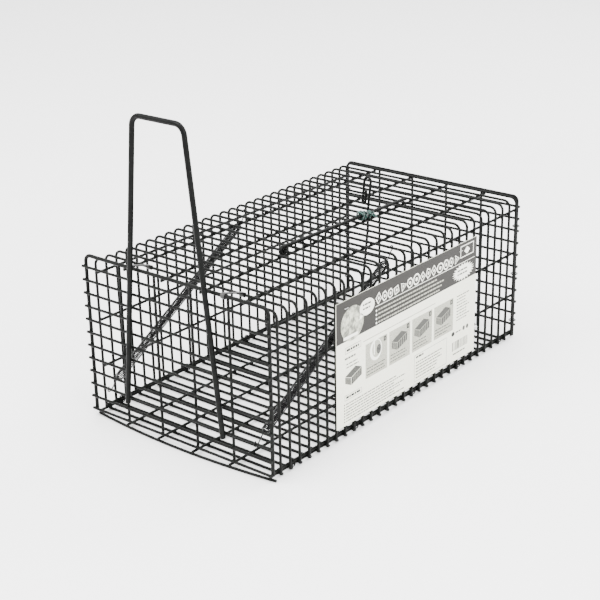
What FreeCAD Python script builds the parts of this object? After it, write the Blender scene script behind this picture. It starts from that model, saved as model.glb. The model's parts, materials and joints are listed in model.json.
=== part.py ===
import FreeCAD, Part
import math
import os

from FreeCAD import Placement, Rotation, Vector

# A live catch trap: a long welded-wire cage with a sprung drop door at the front, a lever handle
# fixed to the door, a setting rod on the roof and a bait hook that hangs inside. Millimetres.
# +X is the trap's right, -Y its front (the door), +Z up. The wires of a mesh lie on each other
# and are welded where they cross, so crossing wires touch without sharing any volume.

doc = FreeCAD.newDocument("live_catch_trap")

# ---------------------------------------------------------------- driving dimensions

sheet = doc.addObject("Spreadsheet::Sheet", "Sizes")

DIMENSIONS = [
    ("cage_width", 200),
    ("cage_height", 142),
    ("hoop_pitch", 12),
    ("hoop_count", 30),
    ("front_hoop_y", -174),
    ("shoulder_radius", 6),
    ("side_runner_top_z", 129.5),
    ("mesh_wire", 2.4),
    ("runner_pitch", 43),
    ("floor_front_y", -183),
    ("floor_overhang", -0.6),
    ("front_wire_left_x", -99),
    ("front_wire_right_x", 102.8),
    ("floor_bow", 7),
    ("runner_overhang", 1.2),
    ("wire_foot_z", 2),
    ("rear_top_z", 143),
    ("rear_row_top_z", 132.3),
    ("rear_rows", 11),
    ("rear_overhang", 1.1),
    ("rear_corner_radius", 5),
    ("panel_column_pitch", 40),
    ("door_y", -184),
    ("door_top_z", 148),
    ("door_bottom_z", 6.5),
    ("door_rows", 12),
    ("door_half_width", 100.5),
    ("door_wire", 3.2),
    ("door_corner_radius", 6),
    ("door_overhang", 1.7),
    ("door_foot", 1),
    ("handle_wire", 4.6),
    ("handle_top_z", 280),
    ("handle_foot_z", 27),
    ("handle_foot_x", 54),
    ("handle_top_x", 27),
    ("handle_corner_radius", 9),
    ("clip_width", 4),
    ("clip_thickness", 0.8),
    ("clip_left_x", -47),
    ("clip_right_x", 55.5),
    ("clip_clearance", 0.08),
    ("spring_left_x", -80),
    ("spring_right_x", 86),
    ("spring_outer", 8),
    ("spring_wire", 1.1),
    ("spring_hoop", 14),
    ("spring_row", 2),
    ("spring_drop", 5.2),
    ("upper_hook_reach", 11),
    ("lower_hook_reach", 11),
    ("hook_clearance", 0.3),
    ("rod_wire", 3.4),
    ("rod_hoop", 9),
    ("rod_front_x", 16),
    ("rod_rear_x", 26),
    ("rod_rear_y", 100),
    ("rod_rear_z", 147),
    ("eye_clearance", 0.3),
    ("bait_hoop", 19),
    ("bait_x", 18.4),
    ("bait_wire", 2.4),
    ("bait_loop_width", 7.2),
    ("bait_loop_base_z", 153),
    ("bait_loop_top_z", 176),
    ("bait_loop_turn", 1.5),
    ("bait_lean", 9),
    ("bait_loop_lean", 5),
    ("bait_low_z", 62),
    ("bait_bend_radius", 8),
    ("tie_wire", 1.4),
    ("tie_clearance", 0.15),
    ("tie_y", 36),
    ("card_length", 207),
    ("card_height", 112),
    ("card_low_z", 13),
    ("card_thickness", 0.6),
    ("card_gap", 0.3),
    ("staple_wire", 0.6),
    ("staple_half_span", 2.2),
    ("ring_wire", 1.1),
]

for row, (alias, value) in enumerate(DIMENSIONS, start=1):
    sheet.set(f"A{row}", alias)
    sheet.set(f"B{row}", str(value))
    sheet.setAlias(f"B{row}", alias)
doc.recompute()


def size(alias):
    return float(sheet.get(alias))


nodes = []


def as_node(item, label):
    """Gives an object its node name and puts it on the list of sub-parts to write."""
    item.Label = label
    nodes.append(item)
    return item


# ---------------------------------------------------------------- building blocks

ALONG_X = Rotation(Vector(0, 1, 0), 90)
ALONG_Y = Rotation(Vector(1, 0, 0), -90)
ALONG_Z = Rotation()


def straight_wire(name, rotation, start, length, diameter="Sizes.mesh_wire"):
    """A straight round wire from start (three expressions) along the rotated Z axis."""
    wire = doc.addObject("Part::Cylinder", name)
    wire.Placement = Placement(Vector(), rotation)
    wire.setExpression("Radius", f"{diameter} / 2")
    wire.setExpression("Height", length)
    for axis, expression in zip("xyz", start):
        wire.setExpression(f"Placement.Base.{axis}", expression)
    return wire


def group(label, members):
    """Keeps welded wires of one kind together as separate solids in one node."""
    compound = doc.addObject("Part::Compound", label)
    compound.Links = members
    return as_node(compound, label)


def rounded_path(corners):
    """A wire path of straight runs joined by tangent arcs: corners are (point, radius)."""
    edges = []
    last = corners[0][0]
    for index in range(1, len(corners) - 1):
        point, radius = corners[index]
        back = (corners[index - 1][0] - point).normalize()
        ahead = (corners[index + 1][0] - point).normalize()
        half_angle = math.acos(max(-1.0, min(1.0, back.dot(ahead)))) / 2
        setback = radius / math.tan(half_angle)
        bisector = (back + ahead).normalize()
        centre = point + bisector * (radius / math.sin(half_angle))
        arc_start = point + back * setback
        arc_end = point + ahead * setback
        if (arc_start - last).Length > 1e-6:
            edges.append(Part.LineSegment(last, arc_start).toShape())
        edges.append(Part.Arc(arc_start, centre - bisector * radius, arc_end).toShape())
        last = arc_end
    edges.append(Part.LineSegment(last, corners[-1][0]).toShape())
    return Part.Wire(edges)


def swept_wire(name, path, diameter_alias):
    """A round wire along a path, as a Part::Sweep of a circle bound to the sheet."""
    spine = doc.addObject("Part::Feature", f"{name}_path")
    spine.Shape = path
    section = doc.addObject("Part::Circle", f"{name}_section")
    section.setExpression("Radius", f"Sizes.{diameter_alias} / 2")
    start = path.Edges[0]
    tangent = start.tangentAt(start.FirstParameter)
    section.Placement = Placement(
        start.valueAt(start.FirstParameter), Rotation(Vector(0, 0, 1), tangent)
    )
    sweep = doc.addObject("Part::Sweep", name)
    sweep.Sections = [section]
    sweep.Spine = (spine, [f"Edge{number + 1}" for number in range(len(path.Edges))])
    sweep.Solid = True
    sweep.Frenet = True
    return sweep


def bent_wire(name, corners, diameter_alias):
    """A round wire swept along a rounded path through the corners."""
    return swept_wire(name, rounded_path(corners), diameter_alias)


def ring(name, centre, rotation, inner_radius, wire_alias):
    """A closed wire ring about the rotated Z axis whose bore has the given radius."""
    torus = doc.addObject("Part::Torus", name)
    torus.Placement = Placement(centre, rotation)
    torus.setExpression("Radius2", f"Sizes.{wire_alias} / 2")
    torus.setExpression("Radius1", f"{inner_radius} + Sizes.{wire_alias} / 2")
    return torus


def join(label, members):
    """One solid made of overlapping stretches of the same wire."""
    fused = doc.addObject("Part::MultiFuse", label)
    fused.Shapes = members
    fused.Refine = False
    return fused


# ---------------------------------------------------------------- values used more than once

half_width = size("cage_width") / 2
roof_z = size("cage_height")
pitch = size("hoop_pitch")
hoop_count = int(size("hoop_count"))
front_y = size("front_hoop_y")
rear_y = front_y + (hoop_count - 1) * pitch
mesh_wire = size("mesh_wire")
mesh_radius = mesh_wire / 2
foot_z = size("wire_foot_z")
rear_hoop_expression = "(Sizes.front_hoop_y + (Sizes.hoop_count - 1) * Sizes.hoop_pitch)"
cage_length_expression = "(Sizes.hoop_count - 1) * Sizes.hoop_pitch"


def hoop_y(number):
    return front_y + number * pitch


# ---------------------------------------------------------------- cage: bent mesh sheet

shoulder = size("shoulder_radius")
hoop = bent_wire(
    "hoop",
    [
        (Vector(-half_width, front_y, foot_z), 0),
        (Vector(-half_width, front_y, roof_z), shoulder),
        (Vector(half_width, front_y, roof_z), shoulder),
        (Vector(half_width, front_y, foot_z), 0),
    ],
    "mesh_wire",
)
doc.recompute()
hoops = doc.addObject("Part::Feature", "cage_hoops")
hoops.Shape = Part.makeCompound(
    [hoop.Shape.translated(Vector(0, number * pitch, 0)) for number in range(hoop_count)]
)
as_node(hoops, "cage_hoops")

# The long wires run front to back inside the hoops. On the side walls they step down from just
# below the shoulder at the mesh's own spacing, and the lowest stands on the floor panel.
SIDE_RUNNER_HEIGHTS = [
    "2.5 * Sizes.mesh_wire",
    "Sizes.side_runner_top_z - 2 * Sizes.runner_pitch",
    "Sizes.side_runner_top_z - Sizes.runner_pitch",
    "Sizes.side_runner_top_z",
]
runner_start = "Sizes.front_hoop_y - Sizes.runner_overhang"
runner_length = f"{cage_length_expression} + Sizes.runner_overhang + Sizes.mesh_wire / 2"
for side, sign in (("left", "-1"), ("right", "1")):
    runner_x = f"{sign} * (Sizes.cage_width / 2 - Sizes.mesh_wire)"
    group(
        f"{side}_side_runners",
        [
            straight_wire(
                f"{side}_runner_{index}",
                ALONG_Y,
                (runner_x, runner_start, height),
                runner_length,
            )
            for index, height in enumerate(SIDE_RUNNER_HEIGHTS)
        ],
    )

group(
    "roof_runners",
    [
        straight_wire(
            f"roof_runner_{index}",
            ALONG_Y,
            (
                f"{index - 1.5} * Sizes.runner_pitch",
                runner_start,
                "Sizes.cage_height - Sizes.mesh_wire",
            ),
            runner_length,
        )
        for index in range(4)
    ],
)

# ---------------------------------------------------------------- cage: floor panel

# The front wire of the floor bows forward past the door; the others are straight.
floor_half = "(Sizes.cage_width / 2 + Sizes.floor_overhang)"
floor_front = size("floor_front_y")
bow = size("floor_bow")
bowed_arc = Part.Arc(
    Vector(size("front_wire_left_x"), floor_front, mesh_radius),
    Vector(0, floor_front - bow, mesh_radius),
    Vector(size("front_wire_right_x"), floor_front, mesh_radius),
)
front_wire = swept_wire("floor_front_wire", Part.Wire([bowed_arc.toShape()]), "mesh_wire")
group(
    "floor_cross_wires",
    [front_wire]
    + [
        straight_wire(
            f"floor_cross_{index}",
            ALONG_X,
            (
                f"-{floor_half}",
                f"Sizes.floor_front_y + {index} * Sizes.hoop_pitch",
                "Sizes.mesh_wire / 2",
            ),
            f"2 * {floor_half}",
        )
        for index in range(1, hoop_count)
    ],
)

FLOOR_RUNNERS = 6
floor_runners = []
for index in range(FLOOR_RUNNERS):
    share = 2 * index / (FLOOR_RUNNERS - 1) - 1
    front = f"(Sizes.floor_front_y - Sizes.runner_overhang - {1 - share * share} * Sizes.floor_bow)"
    floor_runners.append(
        straight_wire(
            f"floor_runner_{index}",
            ALONG_Y,
            (
                f"{share} * (Sizes.cage_width / 2 - Sizes.mesh_wire)",
                front,
                "1.5 * Sizes.mesh_wire",
            ),
            f"{rear_hoop_expression} - {front}",
        )
    )
group("floor_runners", floor_runners)

# ---------------------------------------------------------------- cage: rear panel

# The rear panel has a bent border wire of its own, just behind the last hoop.
panel_y = rear_y + mesh_wire
rear_top = size("rear_top_z")
rear_corner = size("rear_corner_radius")
rear_border = bent_wire(
    "rear_border",
    [
        (Vector(-half_width, panel_y, foot_z), 0),
        (Vector(-half_width, panel_y, rear_top), rear_corner),
        (Vector(half_width, panel_y, rear_top), rear_corner),
        (Vector(half_width, panel_y, foot_z), 0),
    ],
    "mesh_wire",
)
as_node(rear_border, "rear_border")

rear_half = "(Sizes.cage_width / 2 + Sizes.rear_overhang)"
group(
    "rear_cross_wires",
    [
        straight_wire(
            f"rear_cross_{index}",
            ALONG_X,
            (
                f"-{rear_half}",
                f"{rear_hoop_expression} + 2 * Sizes.mesh_wire",
                f"Sizes.rear_row_top_z - {index} * Sizes.hoop_pitch",
            ),
            f"2 * {rear_half}",
        )
        for index in range(int(size("rear_rows")))
    ],
)

group(
    "rear_uprights",
    [
        straight_wire(
            f"rear_upright_{index}",
            ALONG_Z,
            (
                f"{index - 1.5} * Sizes.panel_column_pitch",
                f"{rear_hoop_expression} + Sizes.mesh_wire",
                "Sizes.wire_foot_z",
            ),
            "Sizes.rear_top_z - Sizes.mesh_wire / 2 - Sizes.wire_foot_z",
        )
        for index in range(4)
    ],
)

# ---------------------------------------------------------------- cage: hog rings

# A ring squeezed round two touching wires needs a bore of one full wire's diameter.
pair_bore = "Sizes.mesh_wire"
RING_HOOPS = (1, 8, 15, 21, 27)
RING_ROWS = (1, 5, 9)
ring_offset = 5
floor_rings = []
for sign in (-1, 1):
    for number in RING_HOOPS:
        centre = Vector(
            sign * (half_width - mesh_wire), hoop_y(number) + ring_offset, 2 * mesh_wire
        )
        floor_rings.append(ring(f"floor_ring_{number}", centre, ALONG_Y, pair_bore, "ring_wire"))
group("floor_hog_rings", floor_rings)

rear_rings = []
for sign in (-1, 1):
    for row in RING_ROWS:
        height = size("rear_row_top_z") - (row + 0.5) * pitch
        centre = Vector(sign * half_width, rear_y + mesh_radius, height)
        rear_rings.append(ring(f"rear_ring_{row}", centre, ALONG_Z, pair_bore, "ring_wire"))
group("rear_hog_rings", rear_rings)

# ---------------------------------------------------------------- door panel

door_y = size("door_y")
door_top = size("door_top_z")
door_x = size("door_half_width")
door_low = size("door_bottom_z")
door_corner = size("door_corner_radius")
door_foot_z = door_low - size("door_foot")
door_frame = bent_wire(
    "door_frame",
    [
        (Vector(-door_x, door_y, door_foot_z), 0),
        (Vector(-door_x, door_y, door_top), door_corner),
        (Vector(door_x, door_y, door_top), door_corner),
        (Vector(door_x, door_y, door_foot_z), 0),
    ],
    "door_wire",
)
as_node(door_frame, "door_frame")

door_mesh_y = "Sizes.door_y - Sizes.door_wire / 2 - Sizes.mesh_wire / 2"
group(
    "door_cross_wires",
    [
        straight_wire(
            f"door_cross_{index}",
            ALONG_X,
            (
                "-(Sizes.door_half_width + Sizes.door_overhang)",
                door_mesh_y,
                f"Sizes.door_bottom_z + {index} * Sizes.hoop_pitch",
            ),
            "2 * (Sizes.door_half_width + Sizes.door_overhang)",
        )
        for index in range(int(size("door_rows")))
    ],
)

group(
    "door_uprights",
    [
        straight_wire(
            f"door_upright_{index}",
            ALONG_Z,
            (
                f"{index - 1.5} * Sizes.panel_column_pitch",
                f"{door_mesh_y} + Sizes.mesh_wire",
                "Sizes.door_bottom_z - Sizes.door_foot",
            ),
            "Sizes.door_top_z - Sizes.door_wire / 2 - Sizes.door_bottom_z + Sizes.door_foot",
        )
        for index in range(4)
    ],
)

# ---------------------------------------------------------------- handle lever

handle_y = door_y - size("door_wire") / 2 - mesh_wire - size("handle_wire") / 2
foot_x = size("handle_foot_x")
top_x = size("handle_top_x")
handle_corner = size("handle_corner_radius")
handle = bent_wire(
    "handle_lever",
    [
        (Vector(-foot_x, handle_y, size("handle_foot_z")), 0),
        (Vector(-top_x, handle_y, size("handle_top_z")), handle_corner),
        (Vector(top_x, handle_y, size("handle_top_z")), handle_corner),
        (Vector(foot_x, handle_y, size("handle_foot_z")), 0),
    ],
    "handle_wire",
)
as_node(handle, "handle_lever")

# ---------------------------------------------------------------- hinge clips

# Each clip is a flat strap: a loose loop round the door's top wire, a tight loop round the
# second roof hoop, and a straight tongue from the top of one loop to the top of the other.
clip_width = size("clip_width")
loop_radius = size("door_wire") / 2 + size("clip_clearance")
grip_y = hoop_y(1)
tongue_start = Vector(0, door_y, door_top + loop_radius)
tongue_end = Vector(0, grip_y, roof_z + mesh_radius)
tongue_run = tongue_end - tongue_start
tongue_tilt = math.degrees(math.atan2(tongue_run.z, tongue_run.y))


def clip_drum(name, axis_point, radius_expression):
    """A short cylinder across the strap's width, about an axis along X."""
    drum = doc.addObject("Part::Cylinder", name)
    drum.Placement = Placement(axis_point, ALONG_X)
    drum.setExpression("Radius", radius_expression)
    drum.setExpression("Height", "Sizes.clip_width")
    return drum


for side in ("left", "right"):
    low_x = size(f"clip_{side}_x") - clip_width / 2
    hinge_point = Vector(low_x, door_y, door_top)
    grip_point = Vector(low_x, grip_y, roof_z)
    hinge_bore = "Sizes.door_wire / 2 + Sizes.clip_clearance"
    grip_bore = "Sizes.mesh_wire / 2"
    tongue = doc.addObject("Part::Box", f"clip_tongue_{side}")
    tongue.setExpression("Length", "Sizes.clip_width")
    tongue.setExpression("Height", "Sizes.clip_thickness")
    tongue.Width = tongue_run.Length
    tongue.Placement = Placement(
        Vector(low_x, tongue_start.y, tongue_start.z), Rotation(Vector(1, 0, 0), tongue_tilt)
    )
    strap = join(
        f"clip_strap_{side}",
        [
            clip_drum(f"clip_hinge_{side}", hinge_point, f"{hinge_bore} + Sizes.clip_thickness"),
            clip_drum(f"clip_grip_{side}", grip_point, f"{grip_bore} + Sizes.clip_thickness"),
            tongue,
        ],
    )
    bores = join(
        f"clip_bores_{side}",
        [
            clip_drum(f"clip_hinge_bore_{side}", hinge_point, hinge_bore),
            clip_drum(f"clip_grip_bore_{side}", grip_point, grip_bore),
        ],
    )
    clip = doc.addObject("Part::Cut", f"hinge_clip_{side}")
    clip.Base = strap
    clip.Tool = bores
    as_node(clip, f"hinge_clip_{side}")

# ---------------------------------------------------------------- extension springs

# Each spring runs from a roof hoop down to the door's third wire from the bottom. The coil is a
# plain tube of the coil's outer shape, between an upper hook and a lower hook of bent wire. Its
# axis passes a little below the roof hoop, so that the raised spring lies under the roof wires.
anchor = Vector(0, hoop_y(int(size("spring_hoop"))), roof_z)
door_hold = Vector(
    0, door_y - size("door_wire") / 2 - mesh_radius, door_low + size("spring_row") * pitch
)
reach_line = door_hold - anchor
drop = size("spring_drop")
line_tilt = math.degrees(math.asin(drop / reach_line.Length))
spring_axis = Rotation(Vector(1, 0, 0), -line_tilt).multVec(reach_line).normalize()
below = spring_axis.cross(Vector(1, 0, 0)).normalize()
if below.z > 0:
    below = below * -1
spring_length = math.sqrt(reach_line.Length**2 - drop**2)
line_start = anchor + below * drop
upper_reach = size("upper_hook_reach")
lower_reach = size("lower_hook_reach")
hook_radius = mesh_radius + size("spring_wire") / 2 + size("hook_clearance")
coil_start = line_start + spring_axis * upper_reach
coil_end = door_hold - spring_axis * lower_reach
HOOK_OVERLAP = 0.4
HOOK_BEND = 1.2
miss = (line_start + spring_axis * spring_length - door_hold).Length
print("anchor", tuple(anchor), "hold", tuple(door_hold), "length", round(spring_length, 4))
print("spring axis", tuple(spring_axis), "miss", round(miss, 5))


def spring_hook(name, x, held_at, coil_face, towards):
    """A wire from the middle of the coil's end face that hooks round the held wire."""
    across = towards.cross(Vector(1, 0, 0)).normalize()
    if across.z < 0:
        across = across * -1
    turn = hook_radius * 0.98
    corners = [
        (coil_face + towards * HOOK_OVERLAP, 0),
        (coil_face - towards * 2.5, HOOK_BEND),
        (held_at + towards * hook_radius - across * hook_radius, HOOK_BEND),
        (held_at - towards * hook_radius - across * hook_radius, turn),
        (held_at - towards * hook_radius + across * hook_radius, turn),
        (held_at + across * hook_radius + towards * hook_radius / 2, 0),
    ]
    shift = Vector(x, 0, 0)
    return bent_wire(name, [(point + shift, radius) for point, radius in corners], "spring_wire")


for side in ("left", "right"):
    x = size(f"spring_{side}_x")
    turned = Rotation(Vector(0, 0, 1), spring_axis)
    shells = []
    for part_name, radius in (
        ("outer", "Sizes.spring_outer / 2"),
        ("inner", "Sizes.spring_outer / 2 - Sizes.spring_wire"),
    ):
        shell = doc.addObject("Part::Cylinder", f"coil_{part_name}_{side}")
        shell.Placement = Placement(coil_start + Vector(x, 0, 0), turned)
        shell.setExpression("Radius", radius)
        shell.Height = (coil_end - coil_start).Length
        shells.append(shell)
    coil = doc.addObject("Part::Cut", f"{side}_spring_coil")
    coil.Base, coil.Tool = shells
    as_node(coil, f"{side}_spring_coil")
    upper = spring_hook(f"{side}_spring_upper_hook", x, anchor, coil_start, spring_axis)
    as_node(upper, f"{side}_spring_upper_hook")
    lower = spring_hook(f"{side}_spring_lower_hook", x, door_hold, coil_end, spring_axis * -1)
    as_node(lower, f"{side}_spring_lower_hook")

# ---------------------------------------------------------------- setting rod

# The rod's front end is an eye that turns on a roof hoop, and the rod lies back along the roof.
rod_pivot = Vector(size("rod_front_x"), hoop_y(int(size("rod_hoop"))), roof_z)
eye_bore = "(Sizes.mesh_wire / 2 + Sizes.eye_clearance)"
rod_eye = ring("rod_eye", rod_pivot, ALONG_X, eye_bore, "rod_wire")
rod_height = mesh_radius + size("eye_clearance") + size("rod_wire") / 2
rod_start = rod_pivot + Vector(0, 0, rod_height)
rod_end = Vector(size("rod_rear_x"), size("rod_rear_y"), size("rod_rear_z"))
rod_bend = rod_start + Vector(1.5, 25, 0.25)
ROD_BEND_RADIUS = 60
rod_shaft = bent_wire(
    "rod_shaft",
    [(rod_start, 0), (rod_bend, ROD_BEND_RADIUS), (rod_end, 0)],
    "rod_wire",
)
as_node(join("setting_rod", [rod_eye, rod_shaft]), "setting_rod")

# ---------------------------------------------------------------- bait hook

# One wire: a tall loop above the roof, an eye that hangs on a roof hoop, a stem that leans
# forward inside the cage and a round hook at the bottom for the bait.
bait_x = size("bait_x")
bait_pivot = Vector(bait_x, hoop_y(int(size("bait_hoop"))), roof_z)
eye_offset = mesh_radius + size("eye_clearance") + size("bait_wire") / 2
bait_eye = ring("bait_eye", bait_pivot, ALONG_X, eye_bore, "bait_wire")
stem_y = bait_pivot.y - eye_offset
left_leg_x = bait_x - size("bait_loop_width")
turn_x = left_leg_x + 2 * size("bait_loop_turn")
loop_base = size("bait_loop_base_z")
loop_top = size("bait_loop_top_z")
fold_radius = size("bait_loop_width") / 2 * 0.98
turn_radius = size("bait_loop_turn") * 0.98
STEM_RISE = 4
LEG_BEND = 12
LEAN_START = 12
LEAN_BEND = 20
top_y = stem_y + size("bait_loop_lean")
base_y = stem_y + size("bait_loop_lean") * (loop_base - roof_z) / (loop_top - roof_z)
low_z = size("bait_low_z")
bend = size("bait_bend_radius")
low_y = stem_y - size("bait_lean")
hook_turn = bend * 0.98
# From the top end: a short turned-up end, the narrow loop, the stem and the round bait hook.
bait_wire = bent_wire(
    "bait_wire",
    [
        (Vector(turn_x, (base_y + top_y) / 2, (loop_base + loop_top) / 2), 0),
        (Vector(turn_x, base_y, loop_base), turn_radius),
        (Vector(left_leg_x, base_y, loop_base), turn_radius),
        (Vector(left_leg_x, top_y, loop_top), fold_radius),
        (Vector(bait_x, top_y, loop_top), fold_radius),
        (Vector(bait_x, stem_y, roof_z + STEM_RISE), LEG_BEND),
        (Vector(bait_x, stem_y, roof_z - LEAN_START), LEAN_BEND),
        (Vector(bait_x, low_y, low_z + bend), LEG_BEND / 2),
        (Vector(bait_x, low_y, low_z - bend), hook_turn),
        (Vector(bait_x, low_y + 2 * bend, low_z - bend), hook_turn),
        (Vector(bait_x, low_y + 2 * bend, low_z + LEG_BEND / 2), 0),
    ],
    "bait_wire",
)
as_node(join("bait_hook", [bait_eye, bait_wire]), "bait_hook")

# ---------------------------------------------------------------- twist tie

# The tie is wound round the rod just in front of the bait hook, between two roof hoops.
tie_y = size("tie_y")
tie_share = (tie_y - rod_bend.y) / (rod_end.y - rod_bend.y)
tie_centre = rod_bend + (rod_end - rod_bend) * tie_share
turns = []
tie_bore = "(Sizes.rod_wire / 2 + Sizes.tie_clearance)"
TURN_OFFSETS = (-1.8, 0, 1.8)
for index, offset in enumerate(TURN_OFFSETS):
    centre = tie_centre + Vector(0, offset, 0)
    turns.append(ring(f"tie_turn_{index}", centre, ALONG_Y, tie_bore, "tie_wire"))
group("twist_tie", turns)

# ---------------------------------------------------------------- label card and its staples

card_x = half_width + mesh_radius + size("card_gap")
card = doc.addObject("Part::Box", "label_card")
card.setExpression("Length", "Sizes.card_thickness")
card.setExpression("Width", "Sizes.card_length")
card.setExpression("Height", "Sizes.card_height")
card.setExpression(
    "Placement.Base.x", "Sizes.cage_width / 2 + Sizes.mesh_wire / 2 + Sizes.card_gap"
)
card.setExpression("Placement.Base.y", "-Sizes.card_length / 2")
card.setExpression("Placement.Base.z", "Sizes.card_low_z")
as_node(card, "label_card")

staple_half = size("staple_half_span")
STAPLE_GAP = 0.1
STAPLE_HOOPS = (7, 21)
STAPLE_HEIGHTS = (24, 118)
STAPLE_BEND = 0.5
STAPLE_PARTING = 0.4
staple_out = card_x + size("card_thickness") + size("staple_wire") / 2
staple_in = half_width - mesh_radius - size("staple_wire") / 2 - STAPLE_GAP
staples = []
for number in STAPLE_HOOPS:
    for height in STAPLE_HEIGHTS:
        y = hoop_y(number)
        staples.append(
            bent_wire(
                f"staple_{number}_{height}",
                [
                    (Vector(staple_in, y - STAPLE_PARTING, height), 0),
                    (Vector(staple_in, y - staple_half, height), STAPLE_BEND),
                    (Vector(staple_out, y - staple_half, height), STAPLE_BEND),
                    (Vector(staple_out, y + staple_half, height), STAPLE_BEND),
                    (Vector(staple_in, y + staple_half, height), STAPLE_BEND),
                    (Vector(staple_in, y + STAPLE_PARTING, height), 0),
                ],
                "staple_wire",
            )
        )
group("card_staples", staples)

# ---------------------------------------------------------------- check and write

doc.recompute()
for item in doc.Objects:
    state = " ".join(item.State)
    if "Invalid" in state or "Error" in state:
        raise RuntimeError(f"{item.Label} failed: {state}")
for item in nodes:
    if item.Shape.isNull() or not item.Shape.isValid() or not item.Shape.Solids:
        raise RuntimeError(f"{item.Label} has no valid solid")

# The origin is the middle of the whole trap's box, on the ground.
box = FreeCAD.BoundBox()
for item in nodes:
    box.add(item.Shape.optimalBoundingBox())
shift = Vector(-box.Center.x, -box.Center.y, -box.ZMin)
print("origin shift", tuple(round(value, 4) for value in shift))
print("size", round(box.XLength, 3), round(box.YLength, 3), round(box.ZLength, 3))

os.makedirs("parts", exist_ok=True)
for item in nodes:
    placed = item.Shape.copy()
    placed.translate(shift)
    placed.exportStep(f"parts/{item.Label}.step")
    volume = sum(solid.Volume for solid in placed.Solids)
    print(f"{item.Label:26s} solids {len(placed.Solids):3d}  volume {volume:9.1f} mm3")
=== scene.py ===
import json
import math
import random

import bmesh
import bpy
from mathutils import Matrix, Vector


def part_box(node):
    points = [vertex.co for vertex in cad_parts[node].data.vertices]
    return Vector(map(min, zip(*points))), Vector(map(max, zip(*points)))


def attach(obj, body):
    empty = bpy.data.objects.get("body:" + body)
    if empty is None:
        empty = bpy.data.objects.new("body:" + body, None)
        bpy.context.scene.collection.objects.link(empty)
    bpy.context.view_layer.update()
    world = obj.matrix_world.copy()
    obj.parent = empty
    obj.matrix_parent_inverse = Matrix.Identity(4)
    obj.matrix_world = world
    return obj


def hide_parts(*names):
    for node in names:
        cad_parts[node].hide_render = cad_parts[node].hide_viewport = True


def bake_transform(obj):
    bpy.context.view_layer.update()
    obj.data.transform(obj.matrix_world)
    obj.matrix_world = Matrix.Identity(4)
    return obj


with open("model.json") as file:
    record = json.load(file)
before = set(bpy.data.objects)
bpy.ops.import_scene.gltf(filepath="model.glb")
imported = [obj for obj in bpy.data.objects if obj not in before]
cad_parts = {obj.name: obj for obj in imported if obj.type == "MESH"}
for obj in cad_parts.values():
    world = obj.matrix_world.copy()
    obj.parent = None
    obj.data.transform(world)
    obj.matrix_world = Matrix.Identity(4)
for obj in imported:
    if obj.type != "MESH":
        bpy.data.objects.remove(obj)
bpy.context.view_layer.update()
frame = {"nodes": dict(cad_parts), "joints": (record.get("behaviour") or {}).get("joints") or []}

MM = 0.001
joints = {joint["name"]: joint for joint in frame["joints"]}

# ---------------------------------------------------------------- the camera

# The view of the photograph: from the front right and above, with a slight roll.
CAMERA_AZIMUTH = 39.66
CAMERA_ELEVATION = 21.92
CAMERA_ROLL = -1.14
CAMERA_DISTANCE = 1.292
CAMERA_TARGET = Vector((-0.0209, 0.00625, 0.0666))
CAMERA_LENS = 84.5
SENSOR_WIDTH = 36


def make_camera():
    """A camera at the angles above, rolled about its own line of sight."""
    azimuth = math.radians(CAMERA_AZIMUTH)
    elevation = math.radians(CAMERA_ELEVATION)
    roll = math.radians(CAMERA_ROLL)
    back = Vector(
        (
            math.sin(azimuth) * math.cos(elevation),
            -math.cos(azimuth) * math.cos(elevation),
            math.sin(elevation),
        )
    )
    level = Vector((math.cos(azimuth), math.sin(azimuth), 0))
    upright = back.cross(level)
    right = level * math.cos(roll) + upright * math.sin(roll)
    up = upright * math.cos(roll) - level * math.sin(roll)
    data = bpy.data.cameras.new("camera")
    data.lens = CAMERA_LENS
    data.sensor_width = SENSOR_WIDTH
    camera = bpy.data.objects.new("camera", data)
    bpy.context.collection.objects.link(camera)
    place = Matrix((right, up, back)).transposed().to_4x4()
    place.translation = CAMERA_TARGET + back * CAMERA_DISTANCE
    camera.matrix_world = place
    bpy.context.scene.camera = camera


make_camera()

# ---------------------------------------------------------------- material tools

# The mix node's sockets for colours: its A and B inputs, and its result.
COLOR_A = 6
COLOR_B = 7
COLOR_RESULT = 2


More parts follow.
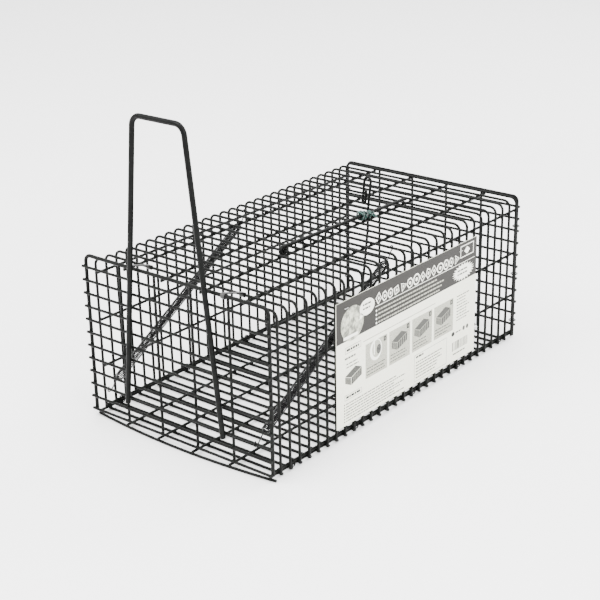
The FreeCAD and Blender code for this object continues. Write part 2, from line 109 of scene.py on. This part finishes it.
class Nodes:
    """A short way to write a node tree: each method adds one node and returns its output."""

    def __init__(self, name):
        self.material = bpy.data.materials.new(name)
        self.material.use_nodes = True
        self.tree = self.material.node_tree
        self.shader = self.tree.nodes["Principled BSDF"]
        place = self.tree.nodes.new("ShaderNodeTexCoord")
        self.place = place.outputs["Object"]

    def put(self, target, value):
        """Links a socket to another node's output, or sets it to a constant."""
        if isinstance(value, bpy.types.NodeSocket):
            self.tree.links.new(value, target)
        else:
            target.default_value = value

    def add(self, kind, **inputs):
        node = self.tree.nodes.new(kind)
        for name, value in inputs.items():
            self.put(node.inputs[name.replace("_", " ")], value)
        return node

    def stretched(self, x, y, z):
        """The object's coordinates, scaled along each axis."""
        node = self.add("ShaderNodeMapping", Vector=self.place)
        node.inputs["Scale"].default_value = (x, y, z)
        return node.outputs["Vector"]

    def noise(self, scale, detail=3.0, roughness=0.5, vector=None):
        node = self.add(
            "ShaderNodeTexNoise",
            Vector=vector or self.place,
            Scale=scale,
            Detail=detail,
            Roughness=roughness,
        )
        return node.outputs["Fac"]

    def remap(self, value, low, high, to_low=0.0, to_high=1.0):
        node = self.add("ShaderNodeMapRange", Value=value)
        node.inputs["From Min"].default_value = low
        node.inputs["From Max"].default_value = high
        node.inputs["To Min"].default_value = to_low
        node.inputs["To Max"].default_value = to_high
        return node.outputs["Result"]

    def mix(self, factor, first, second):
        """Blends two colours, each a socket or an (r, g, b) constant."""
        node = self.tree.nodes.new("ShaderNodeMix")
        node.data_type = "RGBA"
        self.put(node.inputs["Factor"], factor)
        for slot, color in ((COLOR_A, first), (COLOR_B, second)):
            opaque = color if isinstance(color, bpy.types.NodeSocket) else (*color, 1)
            self.put(node.inputs[slot], opaque)
        return node.outputs[COLOR_RESULT]

    def bump(self, height, strength, distance, after=None):
        node = self.add("ShaderNodeBump", Height=height)
        node.inputs["Strength"].default_value = strength
        node.inputs["Distance"].default_value = distance
        if after is not None:
            self.tree.links.new(after, node.inputs["Normal"])
        return node.outputs["Normal"]

    def finish(self, color, roughness, normal=None, **constants):
        self.put(self.shader.inputs["Base Color"], color)
        self.put(self.shader.inputs["Roughness"], roughness)
        if normal is not None:
            self.tree.links.new(normal, self.shader.inputs["Normal"])
        for name, value in constants.items():
            self.shader.inputs[name.replace("_", " ")].default_value = value
        return self.material


# ---------------------------------------------------------------- materials


SCUFF_GAIN = 2.4
SCUFF_LIFT = 0.003


def black_coat(name, dark, pale, lump_scale):
    """Black dip coating over wire: semi-gloss, a little lumpy, with dull scuffs and faint runs."""
    n = Nodes(name)
    cloud = n.noise(70, 4)
    scuff = n.remap(n.noise(520, 5, 0.65), 0.56, 0.72)
    color = n.mix(n.remap(cloud, 0.35, 0.65), dark, pale)
    color = n.mix(scuff, color, tuple(SCUFF_GAIN * part + SCUFF_LIFT for part in pale))
    roughness = n.remap(n.noise(260, 4), 0.3, 0.7, 0.28, 0.5)
    runs = n.noise(lump_scale, 2, vector=n.stretched(1, 1, 0.45))
    normal = n.bump(runs, 0.55, 0.6 * MM)
    normal = n.bump(n.noise(2600, 2), 0.16, 0.12 * MM, after=normal)
    return n.finish(color, roughness, normal, IOR=1.17)


def spring_steel():
    """Oil-blackened spring wire with bright rubbed crowns."""
    n = Nodes("spring_steel")
    rubbed = n.remap(n.noise(620, 4, 0.6), 0.54, 0.72)
    color = n.mix(rubbed, (0.004, 0.004, 0.0042), (0.09, 0.09, 0.088))
    roughness = n.remap(n.noise(900, 3), 0.3, 0.7, 0.2, 0.4)
    normal = n.bump(n.noise(3000, 2), 0.2, 0.08 * MM)
    return n.finish(color, roughness, normal, Metallic=0.85)


def strap_steel():
    """Dull grey strip: rolled streaks along its length, darker stains and worn spots."""
    n = Nodes("strap_steel")
    streak = n.noise(900, 4, vector=n.stretched(3.2, 0.3, 0.6))
    stain = n.remap(n.noise(160, 4), 0.4, 0.7)
    color = n.mix(streak, (0.02, 0.02, 0.0195), (0.085, 0.085, 0.083))
    color = n.mix(stain, color, (0.007, 0.007, 0.0068))
    roughness = n.remap(streak, 0.3, 0.7, 0.34, 0.52)
    normal = n.bump(streak, 0.25, 0.08 * MM)
    return n.finish(color, roughness, normal, Metallic=0.7)


def tie_vinyl():
    """Soft teal-green vinyl over a thin wire, paler where it is creased."""
    n = Nodes("tie_vinyl")
    crease = n.remap(n.noise(700, 4, 0.6), 0.45, 0.68)
    color = n.mix(crease, (0.0006, 0.009, 0.0075), (0.01, 0.075, 0.058))
    normal = n.bump(n.noise(900, 3), 0.35, 0.15 * MM)
    return n.finish(color, 0.42, normal, Coat_Weight=0.1, Coat_Roughness=0.3)


def card_stock():
    """Cream coated board: faint fibre clouds, a slight sheen."""
    n = Nodes("card_stock")
    fibre = n.noise(380, 5, 0.6)
    color = n.mix(n.remap(fibre, 0.3, 0.7), (0.74, 0.74, 0.61), (0.8, 0.8, 0.69))
    wave = n.bump(n.noise(22, 2), 0.35, 0.8 * MM)
    normal = n.bump(fibre, 0.06, 0.05 * MM, after=wave)
    return n.finish(color, n.remap(fibre, 0.3, 0.7, 0.36, 0.46), normal)


INK_SPREAD = 0.2


def ink(name, low, high, grain=1900):
    """One printed tone, broken by fine grain as a printing screen does."""
    n = Nodes(name)
    grains = n.noise(grain, 2)
    spread = n.remap(grains, 0.5 - INK_SPREAD, 0.5 + INK_SPREAD)
    normal = n.bump(n.noise(22, 2), 0.35, 0.8 * MM)
    return n.finish(n.mix(spread, low, high), 0.45, normal, IOR=1.22)


def picture_ink():
    """A round picture reduced to soft pale patches and streaks: it shows nothing in particular."""
    n = Nodes("picture_ink")
    patch = n.noise(170, 4, 0.62)
    streak = n.noise(420, 3, vector=n.stretched(1, 1.9, 0.5))
    color = n.mix(n.remap(patch, 0.38, 0.62), (0.09, 0.095, 0.07), (0.52, 0.53, 0.42))
    color = n.mix(n.remap(streak, 0.55, 0.75), color, (0.03, 0.03, 0.025))
    return n.finish(color, 0.4)


def plain_wire():
    """Thin staple wire with fine drawn streaks."""
    n = Nodes("plain_wire")
    streak = n.noise(1500, 3, vector=n.stretched(1, 0.2, 1))
    color = n.mix(streak, (0.36, 0.36, 0.35), (0.62, 0.62, 0.6))
    return n.finish(color, n.remap(streak, 0.3, 0.7, 0.22, 0.38), Metallic=1.0)


WIRE = black_coat("coated_wire", (0.0012, 0.0013, 0.0012), (0.0046, 0.005, 0.0044), 430)
BAR = black_coat("coated_bar", (0.0008, 0.0009, 0.0008), (0.003, 0.0033, 0.003), 240)
SPRING = spring_steel()
STRAP = strap_steel()
VINYL = tie_vinyl()
CARD = card_stock()
STAPLE = plain_wire()
INKS = {
    "band": ink("ink_band", (0.0165, 0.0155, 0.0138), (0.026, 0.0245, 0.022)),
    "grey": ink("ink_grey", (0.22, 0.22, 0.18), (0.46, 0.46, 0.385), grain=1300),
    "shade": ink("ink_shade", (0.022, 0.022, 0.02), (0.1, 0.1, 0.09), grain=1100),
    "dark": ink("ink_dark", (0.006, 0.006, 0.0055), (0.016, 0.016, 0.015)),
    "text": ink("ink_text", (0.026, 0.026, 0.023), (0.085, 0.085, 0.076), grain=2600),
    "white": ink("ink_white", (0.78, 0.78, 0.7), (0.88, 0.88, 0.8)),
    "picture": picture_ink(),
}

CAD_FINISHES = {
    "cage_hoops": WIRE,
    "left_side_runners": WIRE,
    "right_side_runners": WIRE,
    "roof_runners": WIRE,
    "floor_cross_wires": WIRE,
    "floor_runners": WIRE,
    "rear_border": WIRE,
    "rear_cross_wires": WIRE,
    "rear_uprights": WIRE,
    "floor_hog_rings": WIRE,
    "rear_hog_rings": WIRE,
    "door_frame": WIRE,
    "door_cross_wires": WIRE,
    "door_uprights": WIRE,
    "handle_lever": BAR,
    "setting_rod": BAR,
    "bait_hook": BAR,
    "hinge_clip_left": STRAP,
    "hinge_clip_right": STRAP,
    "left_spring_upper_hook": SPRING,
    "left_spring_lower_hook": SPRING,
    "right_spring_upper_hook": SPRING,
    "right_spring_lower_hook": SPRING,
    "label_card": CARD,
    "card_staples": STAPLE,
}
for node_name, finish in CAD_FINISHES.items():
    materials = frame["nodes"][node_name].data.materials
    materials.clear()
    materials.append(finish)

# ---------------------------------------------------------------- mesh tools


def mesh_piece(name, vertices, faces, material, smooth=True):
    """A new object from plain vertex and face lists."""
    data = bpy.data.meshes.new(name)
    data.from_pydata(vertices, [], faces)
    data.materials.append(material)
    if smooth:
        data.polygons.foreach_set("use_smooth", [True] * len(data.polygons))
    data.update()
    piece = bpy.data.objects.new(name, data)
    bpy.context.collection.objects.link(piece)
    return piece


def tube(points, radius, sides=8):
    """Vertices and faces of a round wire that follows the points, closed at both ends."""
    vertices, faces = [], []
    side = None
    for index, point in enumerate(points):
        before = points[max(index - 1, 0)]
        after = points[min(index + 1, len(points) - 1)]
        ahead = (after - before).normalized()
        if side is None:
            side = ahead.orthogonal().normalized()
        side = (side - ahead * side.dot(ahead)).normalized()
        other = ahead.cross(side)
        for step in range(sides):
            angle = 2 * math.pi * step / sides
            vertices.append(point + (side * math.cos(angle) + other * math.sin(angle)) * radius)
        if index:
            base = (index - 1) * sides
            for step in range(sides):
                turned = (step + 1) % sides
                faces.append((base + step, base + turned, base + sides + turned, base + sides + step))
    faces.append(tuple(range(sides - 1, -1, -1)))
    last = (len(points) - 1) * sides
    faces.append(tuple(range(last, last + sides)))
    return vertices, faces


# ---------------------------------------------------------------- springs

SPRING_OUTER = 8 * MM
SPRING_WIRE = 1.05 * MM
SPRING_DROP = 5.2 * MM
UPPER_REACH = 11 * MM
LOWER_REACH = 11 * MM
HELD_ROW_RISE = 25.2 * MM
TURN_PITCH = 1.42 * MM
TAPER_TURNS = 2.3
TAPER_START = 0.15
STEPS_PER_TURN = 16
COIL_SIDES = 7


def coil_line(side):
    """The two ends of the coil's axis, which passes a little below the roof hoop it hangs on."""
    anchor = Vector(joints[f"{side}_spring_swing"]["pos_m"])
    axis = Vector(joints[f"{side}_spring_stretch"]["axis"]).normalized()
    low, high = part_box("door_cross_wires")
    hold = Vector((anchor.x, (low.y + high.y) / 2, low.z + HELD_ROW_RISE))
    length = math.sqrt((hold - anchor).length_squared - SPRING_DROP**2)
    return hold - axis * (length - UPPER_REACH), hold - axis * LOWER_REACH


def spring_turns(side):
    """The coil's real turns, which narrow at each end to meet the hooks on the axis."""
    start, end = coil_line(side)
    axis = (end - start).normalized()
    length = (end - start).length
    across = axis.orthogonal().normalized()
    other = axis.cross(across)
    turn_count = length / TURN_PITCH
    steps = int(turn_count * STEPS_PER_TURN)
    full = (SPRING_OUTER - SPRING_WIRE) / 2
    points = []
    for step in range(steps + 1):
        turned = step / STEPS_PER_TURN
        from_end = min(turned, turn_count - turned)
        radius = full * min(1.0, TAPER_START + (1 - TAPER_START) * from_end / TAPER_TURNS)
        angle = 2 * math.pi * turned
        swing_out = across * math.cos(angle) + other * math.sin(angle)
        points.append(start + axis * (length * step / steps) + swing_out * radius)
    vertices, faces = tube(points, SPRING_WIRE / 2, sides=COIL_SIDES)
    coil = mesh_piece(f"{side}_spring_turns", vertices, faces, SPRING)
    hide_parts(f"{side}_spring_coil")
    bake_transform(coil)


for side in ("left", "right"):
    spring_turns(side)

# ---------------------------------------------------------------- weld beads

MESH_WIRE = 2.4 * MM
DOOR_WIRE = 3.2 * MM
HOOP_PITCH = 12 * MM
HOOP_COUNT = 30
SIDE_RUNNER_LOW = 2.5 * MESH_WIRE
SIDE_RUNNER_TOP = 129.5 * MM
SIDE_RUNNER_PITCH = 43 * MM
ROOF_RUNNERS = 4
FLOOR_RUNNERS = 6
REAR_UPRIGHTS = 4
REAR_ROWS = 11
DOOR_UPRIGHTS = 4
DOOR_ROWS = 12
BEAD_WIDE = 1.5 * MM
BEAD_THICK = 1.2 * MM
BEAD_SPREAD = (0.9, 1.08)
X, Y, Z = range(3)


def spaced(node, axis, count):
    """Centres of evenly spaced mesh wires across a node's box."""
    low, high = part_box(node)
    first = low[axis] + MESH_WIRE / 2
    last = high[axis] - MESH_WIRE / 2
    return [first + (last - first) * index / (count - 1) for index in range(count)]


def beads(name, places, flat_axis, body):
    """Small swellings of coating where two welded wires cross, one mesh for a whole panel."""
    mesh = bmesh.new()
    for place in places:
        scale = Vector((BEAD_WIDE, BEAD_WIDE, BEAD_WIDE)) * random.uniform(*BEAD_SPREAD)
        scale[flat_axis] = BEAD_THICK
        fit = Matrix.Translation(place) @ Matrix.Diagonal((*scale, 1))
        bmesh.ops.create_icosphere(mesh, subdivisions=2, radius=1, matrix=fit)
    data = bpy.data.meshes.new(name)
    mesh.to_mesh(data)
    mesh.free()
    data.materials.append(WIRE)
    data.polygons.foreach_set("use_smooth", [True] * len(data.polygons))
    piece = bpy.data.objects.new(name, data)
    bpy.context.collection.objects.link(piece)
    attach(piece, body)


random.seed(7)
hoop_ys = spaced("cage_hoops", Y, HOOP_COUNT)
upper_heights = [SIDE_RUNNER_TOP - SIDE_RUNNER_PITCH * number for number in (2, 1, 0)]
side_heights = [SIDE_RUNNER_LOW] + upper_heights
hoop_low, hoop_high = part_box("cage_hoops")
for side, wall_x in (("left", hoop_low.x + MESH_WIRE), ("right", hoop_high.x - MESH_WIRE)):
    wall = [Vector((wall_x, y, z)) for y in hoop_ys for z in side_heights]
    beads(f"{side}_wall_welds", wall, X, "cage")

roof_weld_z = hoop_high.z - MESH_WIRE
roof_xs = spaced("roof_runners", X, ROOF_RUNNERS)
beads("roof_welds", [Vector((x, y, roof_weld_z)) for x in roof_xs for y in hoop_ys], Z, "cage")

floor_xs = spaced("floor_runners", X, FLOOR_RUNNERS)
floor_rear_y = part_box("floor_cross_wires")[1].y - MESH_WIRE / 2
floor_ys = [floor_rear_y - HOOP_PITCH * number for number in range(HOOP_COUNT - 1)]
beads("floor_welds", [Vector((x, y, MESH_WIRE)) for x in floor_xs for y in floor_ys], Z, "cage")

rear_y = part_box("rear_uprights")[1].y
rear_low, rear_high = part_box("rear_border")
border_xs = [rear_low.x + MESH_WIRE / 2, rear_high.x - MESH_WIRE / 2]
rear_xs = spaced("rear_uprights", X, REAR_UPRIGHTS) + border_xs
rear_zs = spaced("rear_cross_wires", Z, REAR_ROWS)
beads("rear_welds", [Vector((x, rear_y, z)) for x in rear_xs for z in rear_zs], Y, "cage")

door_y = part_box("door_uprights")[0].y
door_low, door_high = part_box("door_frame")
post_xs = [door_low.x + DOOR_WIRE / 2, door_high.x - DOOR_WIRE / 2]
door_xs = spaced("door_uprights", X, DOOR_UPRIGHTS) + post_xs
door_zs = spaced("door_cross_wires", Z, DOOR_ROWS)
beads("door_welds", [Vector((x, door_y, z)) for x in door_xs for z in door_zs], Y, "door")

# ---------------------------------------------------------------- twist tie

TIE_RADIUS = 0.75 * MM
TIE_CORE = 2.5 * MM
TIE_SPREAD = 6.5 * MM
TIE_WAVER = 0.8 * MM
TIE_RIPPLE = 5.1
TIE_STEPS_PER_TURN = 26
TIE_SHIFT = Vector((0.25, 3.5, 0.1)) * MM
ROD_LEAN = Vector((0.06, 1, 0.01)).normalized()


def tie_strand(centre, phase, turns, loose, tail):
    """A strand wound loosely round the rod, ending in a tail of offsets given in millimetres."""
    side = Vector((1, 0, 0))
    up = side.cross(ROD_LEAN)
    steps = int(TIE_STEPS_PER_TURN * turns)
    points = []
    for step in range(steps + 1):
        share = step / steps
        angle = 2 * math.pi * turns * share + phase
        lift = loose * (0.5 + 0.5 * math.sin(TIE_RIPPLE * math.pi * share + 2 * phase))
        reach = TIE_CORE + lift
        along = ROD_LEAN * ((share - 0.5) * 2 * TIE_SPREAD + TIE_WAVER * math.sin(3 * angle))
        points.append(centre + along + (side * math.cos(angle) + up * math.sin(angle)) * reach)
    start = points[-1]
    return points + [start + Vector(offset) * MM for offset in tail]


def twist_tie():
    """A vinyl tie wound round the rod, its ends twisted on each other and one left long."""
    low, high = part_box("twist_tie")
    centre = (low + high) / 2 + TIE_SHIFT
    long_tail = (
        (1.6, -0.6, -0.4),
        (3.8, -1.4, -1.2),
        (6.6, -2.0, -1.8),
        (9.6, -3.2, -2.0),
        (12.4, -4.2, -1.6),
        (15.0, -5.8, -0.8),
    )
    short_tail = ((0.8, 0.6, 1.4), (2.4, -0.8, 2.4), (4.6, -3.0, 1.6), (7.4, -4.6, 1.8))
    strands = (
        tie_strand(centre, 0.4, 3.2, 2.2 * MM, long_tail),
        tie_strand(centre, 2.6, 2.6, 1.2 * MM, short_tail),
    )
    vertices, faces = [], []
    for points in strands:
        more_vertices, more_faces = tube(points, TIE_RADIUS)
        shift = len(vertices)
        vertices += more_vertices
        faces += [tuple(index + shift for index in face) for face in more_faces]
    tie = mesh_piece("twist_tie_wrap", vertices, faces, VINYL)
    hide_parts("twist_tie")
    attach(tie, "setting_rod")


twist_tie()

# ---------------------------------------------------------------- print on the card

# Places and sizes on the card are in millimetres from its lower front corner: along the trap,
# then up. Inks lie in thin layers, and a patch on a higher layer covers the ones below it.
LAYER = 0.035 * MM
card_low, card_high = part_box("label_card")
CARD_LENGTH = (card_high.y - card_low.y) / MM
CARD_HEIGHT = (card_high.z - card_low.z) / MM
printed = {name: [] for name in INKS}


def outline(tone, layer, corners):
    """One printed patch: a flat closed outline on the given layer of ink."""
    printed[tone].append((layer, corners))


def block(tone, layer, left, bottom, width, height):
    """An upright rectangle."""
    right = left + width
    top = bottom + height
    outline(tone, layer, [(left, bottom), (right, bottom), (right, top), (left, top)])


def ring(centre, half_wide, half_high, corners, turn=0.0, shares=(1.0,)):
    """Corners round an oval. The shares of the full reach are taken in turn, so two make a star."""
    places = []
    for step in range(corners):
        angle = turn + 2 * math.pi * step / corners
        share = shares[step % len(shares)]
        across = half_wide * share * math.cos(angle)
        up = half_high * share * math.sin(angle)
        places.append((centre[0] + across, centre[1] + up))
    return places


def oval(tone, layer, centre, half_wide, half_high, corners=40):
    """A round or oval patch."""
    outline(tone, layer, ring(centre, half_wide, half_high, corners))


def border(tone, layer, left, bottom, width, height, line):
    """The outline of a rectangle, drawn as four bars."""
    block(tone, layer, left, bottom, width, line)
    block(tone, layer, left, bottom + height - line, width, line)
    block(tone, layer, left, bottom + line, line, height - 2 * line)
    block(tone, layer, left + width - line, bottom + line, line, height - 2 * line)


WORD_LENGTHS = (1.6, 5.5)
WORD_SPACE = 0.8


def lines(tone, layer, left, top, width, count, gap, thick, ragged=0.25):
    """Rows of short bars that stand for lines of small print."""
    for row in range(count):
        reach = width * (1 - ragged * random.random())
        at = 0.0
        while at < reach:
            word = min(random.uniform(*WORD_LENGTHS), reach - at)
            block(tone, layer, left + at, top - row * gap, word, thick)
            at += word + WORD_SPACE


def burst(tone, layer, centre, half_wide, half_high, points=22, notch=0.74):
    """A star of many short points."""
    outline(tone, layer, ring(centre, half_wide, half_high, 2 * points, shares=(1.0, notch)))


BOX_BARS = (0.2, 0.4, 0.6, 0.8)
BOX_BAR_WIDE = 0.35
BOX_BAR_THIN = 0.3


def boxed_picture(left, bottom, width, height):
    """A plain slanted box, drawn as three faces with a few bars across its front."""

    def at(across, up):
        """A place given in shares of the picture's width and height."""
        return (left + across * width, bottom + up * height)

    outline("shade", 3, [at(0, 0.62), at(0.35, 0.42), at(0.35, 0), at(0, 0.25)])
    outline("shade", 3, [at(0.38, 0.42), at(1, 0.74), at(1, 0.3), at(0.38, 0)])
    outline("text", 3, [at(0, 0.65), at(0.36, 0.45), at(1, 0.77), at(0.62, 1)])
    for share in BOX_BARS:
        x, low = at(0.38 + 0.62 * share, 0.3 * share)
        block("grey", 4, x, low, BOX_BAR_WIDE, (0.42 + 0.02 * share) * height)
        x, low = at(0.35 * share, 0.25 * (1 - share))
        block("grey", 4, x, low, BOX_BAR_THIN, 0.42 * height)


MARK_CORNERS = (3, 4, 5, 6, 30)
MARK_REACH = 0.56
MARK_RINGS = (("white", 3, 1.0), ("band", 4, 0.72), ("white", 5, 0.34))


def title_mark(left, bottom, wide, high):
    """One made-up shape of the title row: an outlined polygon at a chance angle, with a core."""
    corners = random.choice(MARK_CORNERS)
    turn = random.uniform(0, 2 * math.pi)
    centre = (left + wide / 2, bottom + high / 2)
    for tone, layer, share in MARK_RINGS:
        reach = share * MARK_REACH
        outline(tone, layer, ring(centre, reach * wide, reach * high, corners, turn))


BAND_HEIGHT = 36
TITLE_LEFT = 53.5
TITLE_RIGHT = 176
TITLE_DROP = 17.2
TITLE_SPACE = 1.0
MARK_WIDTHS = (6.4, 9.4)
MARK_HEIGHTS = (8.4, 10.0)
BADGE_CENTRE = (191.2, CARD_HEIGHT - 8.5)
BADGE_HALF_WIDE = 4.6
BADGE_HALF_HIGH = 3.5
POINT_ROWS = 4
POINT_DROP = 23.2
POINT_GAP = 3.7


def title_row():
    """The large marks in a row, between a speech patch and a framed diamond."""
    left = TITLE_LEFT
    while left < TITLE_RIGHT:
        wide = random.uniform(*MARK_WIDTHS)
        title_mark(left, CARD_HEIGHT - TITLE_DROP, wide, random.uniform(*MARK_HEIGHTS))
        left += wide + TITLE_SPACE
    border("white", 3, 180.5, CARD_HEIGHT - 14.0, 21.5, 11.2, 0.8)
    oval("white", 3, BADGE_CENTRE, BADGE_HALF_WIDE, BADGE_HALF_HIGH, corners=4)


def header():
    """The dark band: a round picture, a speech patch, the title row and four short lines."""
    top = CARD_HEIGHT
    block("band", 1, 0, top - BAND_HEIGHT, CARD_LENGTH, BAND_HEIGHT)
    oval("picture", 2, (21.4, top - 22.5), 15.4, 15.2)
    block("white", 3, 9.5, top - 34.6, 19, 2.6)
    oval("white", 3, (41.4, top - 14.6), 10.2, 7.2)
    outline("white", 3, [(33.0, top - 17.5), (36.5, top - 20.5), (30.5, top - 23.5)])
    lines("text", 4, 35.6, top - 12.6, 11, 2, 3.6, 1.5, ragged=0.1)
    title_row()
    block("white", 2, 53, top - 19.0, 151, 0.5)
    for row in range(POINT_ROWS):
        height = top - POINT_DROP - POINT_GAP * row
        oval("white", 2, (54.4, height + 0.6), 1.0, 1.0, corners=16)
        lines("grey", 2, 57, height, 98, 1, POINT_GAP, 1.3, ragged=0.12)
    burst("white", 3, (185.8, top - 27.5), 17.5, 8.2)
    lines("text", 4, 176.5, top - 26.0, 18, 2, 3.6, 1.4, ragged=0.2)


PANELS = 4
PANEL_LEFT = 39.2
PANEL_LOW = 32.2
PANEL_WIDTH = 30.6
PANEL_HEIGHT = 31.4
PANEL_PITCH = 33.7
PICTURE_WIDTH = 22.5


def ring_picture(left):
    """The first panel's picture: a pale ring with a dark spot."""
    oval("white", 2, (left + 14.5, 54.5), 8.4, 9.6)
    oval("grey", 3, (left + 15.4, 55.2), 6.2, 7.8)
    oval("shade", 4, (left + 18.6, 53.8), 3.2, 4.4)
    block("white", 4, left + 11.6, 50.5, 1.2, 12.6)


def steps_row():
    """A heading and a small picture on the left, then four grey panels and a column of print."""
    border("text", 1, 11.5, 64.6, 21.5, 5.6, 0.35)
    lines("dark", 2, 13.5, 66.4, 17, 1, 3, 2.0, ragged=0.05)
    block("grey", 1, 36, 67.2, 106, 0.8)
    lines("text", 2, 11, 59.6, 15, 1, 3, 1.5, ragged=0.05)
    boxed_picture(11.3, 34.5, PICTURE_WIDTH, 15.5)
    lines("text", 2, 13, 54.6, 17, 2, 3.0, 0.9)
    for index in range(PANELS):
        left = PANEL_LEFT + index * PANEL_PITCH
        block("grey", 1, left, PANEL_LOW, PANEL_WIDTH, PANEL_HEIGHT)
        block("dark", 2, left + 25.6, 58.2, 3.8, 4.4)
        block("grey", 3, left + 27.1, 59.2, 0.8, 2.4)
        if index == 0:
            ring_picture(left)
        else:
            boxed_picture(left + 3.6, 43.2, PICTURE_WIDTH, 15.8)
        lines("text", 2, left + 1.8, 40.4, 26, 3, 2.9, 0.9)
    lines("text", 1, 176.5, 62.0, 21, 9, 2.9, 0.9, ragged=0.4)


NOTE_ROWS = 7
NOTE_TOP = 18.6
NOTE_GAP = 2.6
BARS_LEFT = 170.6
BARS_RIGHT = 195.4
BAR_WIDTHS = (0.45, 0.8, 1.2)
BAR_SPACES = (0.5, 0.85, 1.3)


def bar_row():
    """A row of upright bars of chance widths, which stand for no code."""
    at = BARS_LEFT
    while at < BARS_RIGHT:
        bar = random.choice(BAR_WIDTHS)
        block("shade", 1, at, 10.4, bar, 8.8)
        at += bar + random.choice(BAR_SPACES)


def lower_rows():
    """The notes, a framed note beside them, three small spots and the row of bars."""
    border("text", 1, 10.4, 22.6, 23.5, 4.8, 0.3)
    lines("dark", 2, 12.4, 24.2, 19.5, 1, 3, 1.9, ragged=0.05)
    for row in range(NOTE_ROWS):
        height = NOTE_TOP - NOTE_GAP * row
        oval("dark", 1, (10.2, height + 0.55), 0.75, 0.75, corners=14)
        lines("text", 1, 12.2, height, 88, 1, NOTE_GAP, 0.95, ragged=0.25)
    border("text", 1, 110.5, 2.4, 51, 25.6, 0.3)
    lines("dark", 2, 113.0, 24.6, 12, 1, 3, 1.7, ragged=0.05)
    lines("text", 2, 113.0, 19.8, 44, 6, 2.9, 0.95, ragged=0.35)
    oval("dark", 1, (171.5, 27.6), 2.6, 2.1)
    for centre_x in (189.0, 194.8):
        oval("shade", 1, (centre_x, 28.2), 2.0, 2.2, corners=24)
    lines("text", 1, 176, 27.2, 9, 1, 3, 1.2)
    bar_row()
    lines("text", 1, 172, 6.4, 22, 1, 3, 1.2, ragged=0.1)


def anticlockwise(corners):
    """The corners in an order that runs anticlockwise, whichever way they were given."""
    following = corners[1:] + corners[:1]
    twice_area = sum(here[0] * then[1] - then[0] * here[1] for here, then in zip(corners, following))
    return corners if twice_area > 0 else corners[::-1]


def print_plates():
    """Turns the patches of each tone into one mesh of very thin closed plates."""
    for tone, patches in printed.items():
        vertices, faces = [], []
        for layer, corners in patches:
            base = len(vertices)
            count = len(corners)
            for x in (card_high.x, card_high.x + layer * LAYER):
                for along, up in anticlockwise(corners):
                    vertices.append(Vector((x, card_low.y + along * MM, card_low.z + up * MM)))
            faces.append(tuple(range(base + count - 1, base - 1, -1)))
            faces.append(tuple(range(base + count, base + 2 * count)))
            for k in range(count):
                after = (k + 1) % count
                faces.append((base + k, base + after, base + count + after, base + count + k))
        plate = mesh_piece(f"card_print_{tone}", vertices, faces, INKS[tone], smooth=False)
        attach(plate, "cage")


header()
steps_row()
lower_rows()
print_plates()

# ---------------------------------------------------------------- studio

FLOOR_REACH = 6.0
WORLD_STRENGTH = 2.5
LIGHT_AIM = Vector((0, 0, 0.08))
SOFTBOXES = (
    ("top", (0, -0.2, 2.6), 3.0, 150),
    ("key", (-0.7, -1.3, 1.7), 1.2, 50),
    ("side", (1.6, -0.5, 1.1), 1.0, 42),
    ("rear", (0.3, 1.6, 1.3), 1.2, 30),
)


def floor_material():
    """Plain pale grey with a very faint cloud."""
    n = Nodes("studio_floor")
    tone = n.remap(n.noise(1.5, 2), 0.3, 0.7)
    return n.finish(n.mix(tone, (0.9, 0.9, 0.9), (0.93, 0.93, 0.93)), 0.5)


def make_floor():
    """A wide square floor under the trap."""
    signs = ((-1, -1), (1, -1), (1, 1), (-1, 1))
    corners = [(x * FLOOR_REACH, y * FLOOR_REACH, 0) for x, y in signs]
    floor = mesh_piece("studio_floor", corners, [(0, 1, 2, 3)], floor_material(), smooth=False)


def softbox(name, place, size, power):
    """A square area light that faces the trap. Its size is in metres and its power in watts."""
    data = bpy.data.lights.new(name, "AREA")
    data.shape = "SQUARE"
    data.size = size
    data.energy = power
    lamp = bpy.data.objects.new(name, data)
    lamp.location = place
    lamp.rotation_euler = (LIGHT_AIM - Vector(place)).to_track_quat("-Z", "Y").to_euler()
    bpy.context.collection.objects.link(lamp)


def make_world():
    """An even white sky."""
    world = bpy.data.worlds.new("studio")
    bpy.context.scene.world = world
    world.use_nodes = True
    background = world.node_tree.nodes["Background"]
    background.inputs["Color"].default_value = (1, 1, 1, 1)
    background.inputs["Strength"].default_value = WORLD_STRENGTH


make_floor()
make_world()
for name, place, size, power in SOFTBOXES:
    softbox(name, place, size, power)
